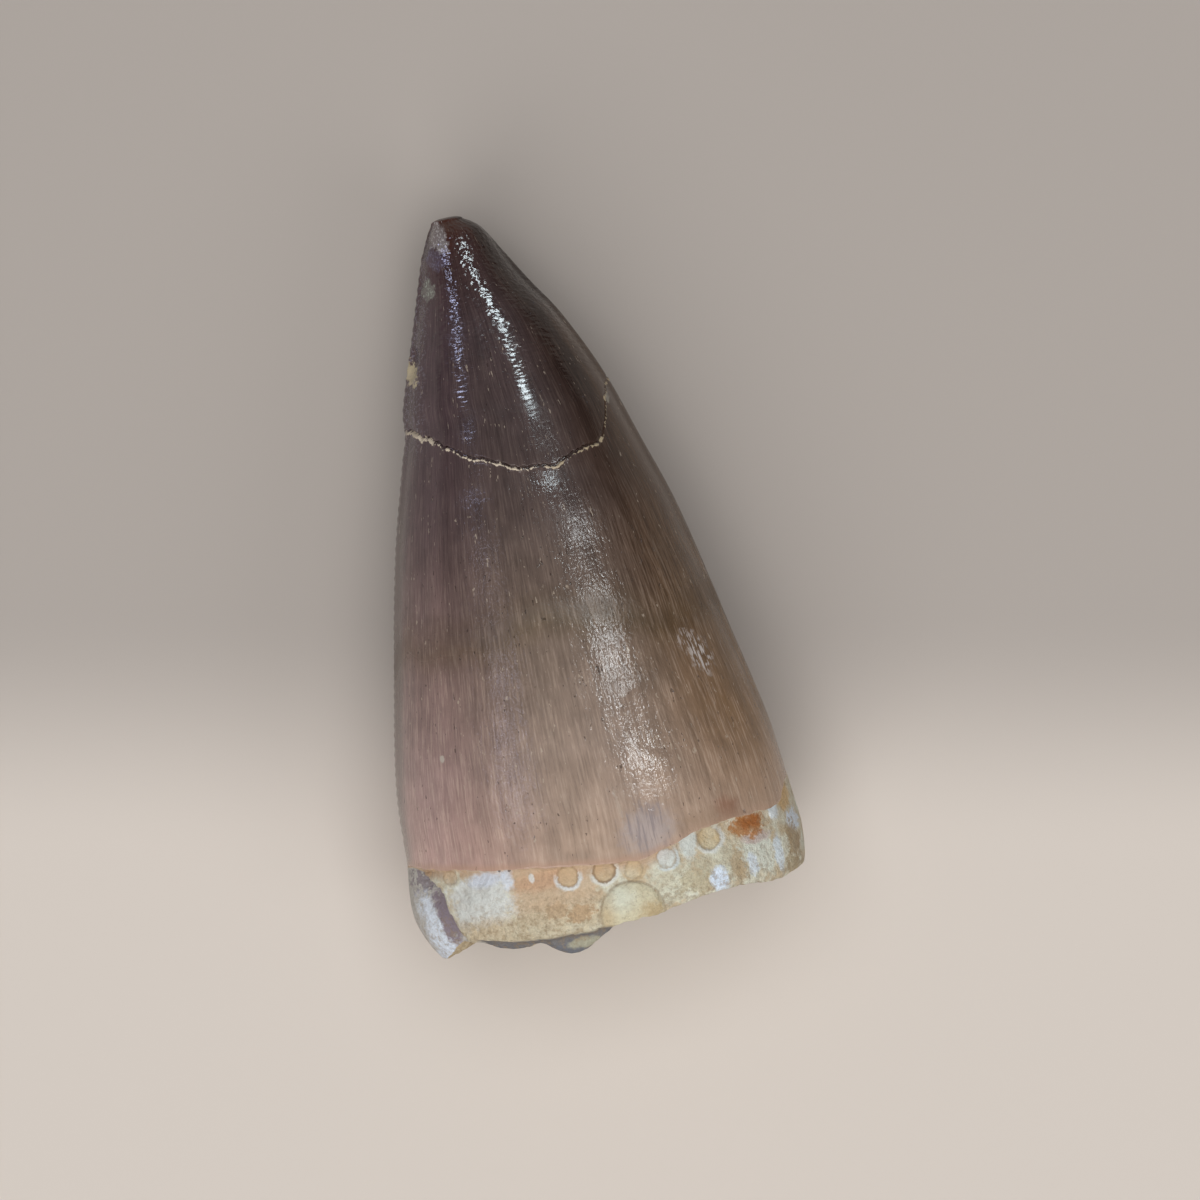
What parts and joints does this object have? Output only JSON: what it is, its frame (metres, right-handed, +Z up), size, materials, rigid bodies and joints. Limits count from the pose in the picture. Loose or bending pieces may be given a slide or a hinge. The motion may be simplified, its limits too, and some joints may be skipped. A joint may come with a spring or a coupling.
{
  "type": "fossil mosasaur tooth",
  "caption": "Stout conical fossil tooth lying on its back: glossy brown enamel with fine lengthwise lines, a filled crack and a cream, broken root end.",
  "frame": {"origin": "bottom centre of the tooth's box, on the surface that it lies on", "axes": "+Y along the tooth, towards the tip; +Z up, out of the face that shows best"},
  "size_m": [0.0332, 0.0621, 0.0252],
  "materials": {
    "fossil_tooth": "satin red-brown to tan enamel over a matte cream and ochre root band, with a pale filled crack"
  },
  "bodies": {
    "root": {"tooth": "fossil_tooth"}
  },
  "joints": []
}
